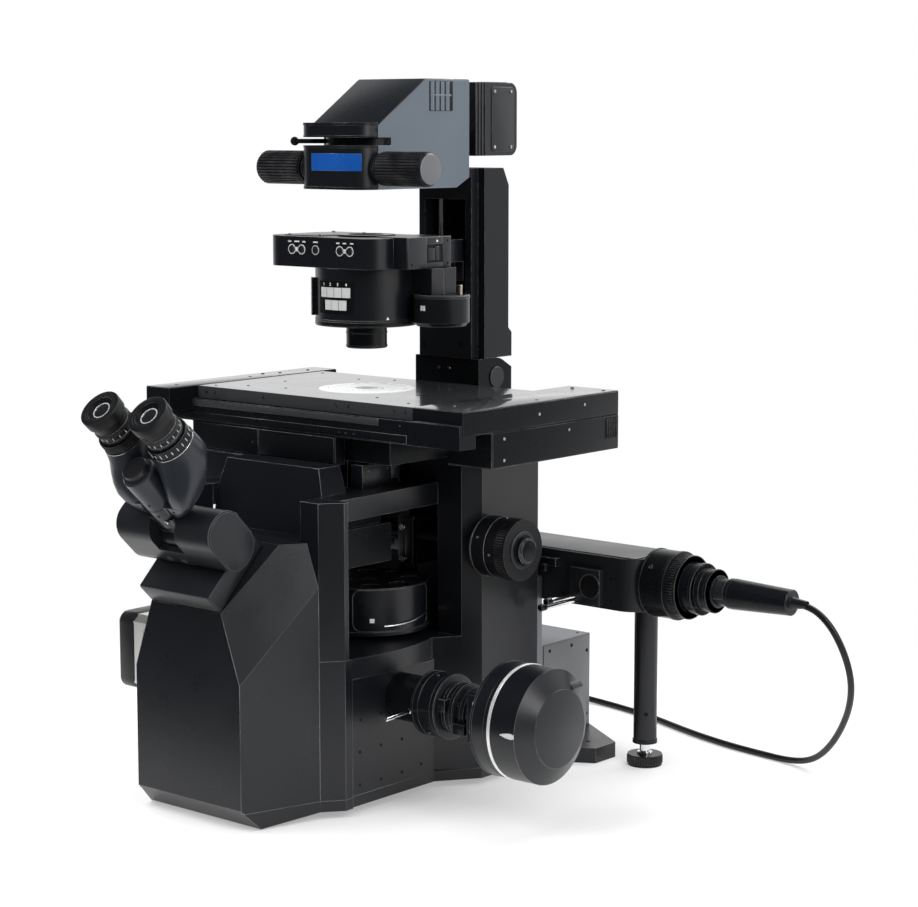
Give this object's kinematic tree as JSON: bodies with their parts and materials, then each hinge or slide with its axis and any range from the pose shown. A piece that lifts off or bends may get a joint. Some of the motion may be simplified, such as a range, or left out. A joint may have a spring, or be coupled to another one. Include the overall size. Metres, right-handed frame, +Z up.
{
  "type": "inverted microscope",
  "caption": "Inverted research microscope with tilting lamp pillar, condenser, motorised stage, objective revolver, binocular tube, side cameras and a fibre lamp on a rear arm",
  "frame": {"origin": "middle of the bounding box of everything but the cord, on the table", "axes": "+Z up, -Y towards the user, +X to the user's right"},
  "size_m": [0.7927, 0.7859, 0.786],
  "materials": {
    "casting": "satin",
    "cover": "satin",
    "hammered": "satin",
    "anodised": "satin",
    "stage_top": "gloss",
    "tube_grey": "satin",
    "box_grey": "satin",
    "rubber": "matte",
    "grip": "matte",
    "steel": "satin",
    "chrome": "polished",
    "plastic": "matte",
    "key_white": "gloss",
    "insert": "satin",
    "camera_white": "satin",
    "glass": "polished"
  },
  "bodies": {
    "stand": {"base_plate": "casting", "frame_casting": "casting", "front_post": "casting", "side_panels": "casting", "hinge_block": "casting", "stage_base": "casting", "analyser_module": "casting", "illuminator_arm": "casting", "illuminator_leg": "casting", "rear_foot": "casting", "tube_base": "casting", "front_cover": "cover", "upper_front_cover": "cover", "lamp_collimator": "anodised", "light_guide_end": "anodised", "port_adaptors": "anodised", "right_camera": "anodised", "rear_box": "box_grey", "left_camera": "camera_white", "rubber_feet": "rubber", "light_guide_cord": "rubber", "focus_rail": "steel", "cord_socket": "plastic", "relay_prism": "glass"},
    "levelling": {"levelling_foot": "steel"},
    "slider": {"filter_slider": "chrome"},
    "pillar": {"pillar": "hammered", "guide_rod": "chrome", "lamp_head": "hammered", "field_stop_housing": "casting", "head_grips": "grip", "lamp_housing": "casting", "led_source": "plastic"},
    "field_stop": {"field_stop_lever": "anodised"},
    "condenser": {"condenser_carrier": "casting", "condenser_top": "casting", "condenser_housing": "casting", "condenser_lens": "anodised"},
    "phase_turret": {"condenser_turret": "anodised"},
    "polariser": {"polariser_drum": "anodised"},
    "carriage": {"stage_carriage": "anodised"},
    "plate": {"stage_plate": "stage_top", "stage_insert": "insert"},
    "lift": {"nosepiece_lift": "casting"},
    "revolver": {"nosepiece": "anodised", "objectives": "steel"},
    "coarse": {"coarse_knob": "anodised"},
    "fine": {"fine_knob": "anodised"},
    "cubes": {"mirror_turret": "anodised"},
    "binocular": {"binocular_body": "tube_grey"},
    "eye_left": {"eyepiece_tube_left": "tube_grey", "eyepiece_left": "grip"},
    "eye_right": {"eyepiece_tube_right": "tube_grey", "eyepiece_right": "grip"},
    "dioptre": {"dioptre_ring": "anodised"},
    "key_1": {"button_1": "key_white"},
    "key_2": {"button_2": "key_white"},
    "key_3": {"button_3": "key_white"},
    "key_4": {"button_4": "key_white"},
    "key_5": {"button_5": "key_white"}
  },
  "joints": [
    {"name": "leg_level", "type": "slide", "parent": "stand", "child": "levelling", "axis": [0, 0, 1], "range_m": [0, 0.008]},
    {"name": "filter_pull", "type": "slide", "parent": "stand", "child": "slider", "axis": [0, 1, 0], "range_m": [-0.03, 0]},
    {"name": "pillar_tilt", "type": "hinge", "parent": "stand", "child": "pillar", "pos_m": [-0.075, 0.22283, 0.442], "axis": [-1, 0, 0], "range_deg": [0, 30]},
    {"name": "field_stop_turn", "type": "hinge", "parent": "pillar", "child": "field_stop", "pos_m": [-0.075, 0.05183, 0.7175], "axis": [0, 0, 1], "range_deg": [-5, 50]},
    {"name": "condenser_height", "type": "slide", "parent": "pillar", "child": "condenser", "axis": [0, 0, 1], "range_m": [-0.04, 0.04]},
    {"name": "phase_turn", "type": "hinge", "parent": "condenser", "child": "phase_turret", "pos_m": [-0.075, 0.07083, 0.523], "axis": [0, 0, 1], "continuous": true},
    {"name": "polariser_turn", "type": "hinge", "parent": "condenser", "child": "polariser", "pos_m": [0.01, 0.08283, 0.549], "axis": [0, 0, 1], "range_deg": [-80, 80]},
    {"name": "stage_x", "type": "slide", "parent": "stand", "child": "carriage", "axis": [1, 0, 0], "range_m": [-0.05, 0.05]},
    {"name": "stage_y", "type": "slide", "parent": "carriage", "child": "plate", "axis": [0, 1, 0], "range_m": [-0.037, 0.037]},
    {"name": "focus", "type": "slide", "parent": "stand", "child": "lift", "axis": [0, 0, 1], "range_m": [-0.009, 0.0015]},
    {"name": "revolver_turn", "type": "hinge", "parent": "lift", "child": "revolver", "pos_m": [-0.075, 0.0817, 0.36985], "axis": [0, 0.2588, 0.9659], "continuous": true},
    {"name": "coarse_turn", "type": "hinge", "parent": "stand", "child": "coarse", "pos_m": [-0.075, 0.07683, 0.274], "axis": [1, 0, 0], "range_deg": [-88.1, 14.7]},
    {"name": "fine_turn", "type": "hinge", "parent": "coarse", "child": "fine", "pos_m": [0.132, 0.07683, 0.274], "axis": [1, 0, 0], "continuous": true},
    {"name": "cube_turn", "type": "hinge", "parent": "stand", "child": "cubes", "pos_m": [-0.043, 0.01983, 0.176], "axis": [0, 0, 1], "continuous": true},
    {"name": "tube_tilt", "type": "hinge", "parent": "stand", "child": "binocular", "pos_m": [-0.075, -0.23288, 0.31049], "axis": [1, 0, 0], "range_deg": [-10, 12]},
    {"name": "eye_right_swing", "type": "hinge", "parent": "binocular", "child": "eye_right", "pos_m": [-0.075, -0.29581, 0.38332], "axis": [0, -0.7071, 0.7071], "range_deg": [-3.9, 14.3]},
    {"name": "eye_left_swing", "type": "hinge", "parent": "binocular", "child": "eye_left", "pos_m": [-0.075, -0.29581, 0.38332], "axis": [0, -0.7071, 0.7071], "range_deg": [-14.3, 3.9]},
    {"name": "dioptre_turn", "type": "hinge", "parent": "eye_right", "child": "dioptre", "pos_m": [-0.039, -0.28118, 0.41493], "axis": [0, -0.7071, 0.7071], "continuous": true},
    {"name": "key_1_press", "type": "slide", "parent": "condenser", "child": "key_1", "axis": [0, 1, 0], "range_m": [0, 0.001], "stiffness_N_per_m": 600},
    {"name": "key_2_press", "type": "slide", "parent": "condenser", "child": "key_2", "axis": [0, 1, 0], "range_m": [0, 0.001], "stiffness_N_per_m": 600},
    {"name": "key_3_press", "type": "slide", "parent": "condenser", "child": "key_3", "axis": [0, 1, 0], "range_m": [0, 0.001], "stiffness_N_per_m": 600},
    {"name": "key_4_press", "type": "slide", "parent": "condenser", "child": "key_4", "axis": [0, 1, 0], "range_m": [0, 0.001], "stiffness_N_per_m": 600},
    {"name": "key_5_press", "type": "slide", "parent": "condenser", "child": "key_5", "axis": [0, 1, 0], "range_m": [0, 0.001], "stiffness_N_per_m": 600}
  ],
  "couplings": [
    {"joint": "coarse_turn", "follows": "focus", "rad_per_m": 170.74},
    {"joint": "eye_left_swing", "follows": "eye_right_swing", "ratio": -1}
  ]
}
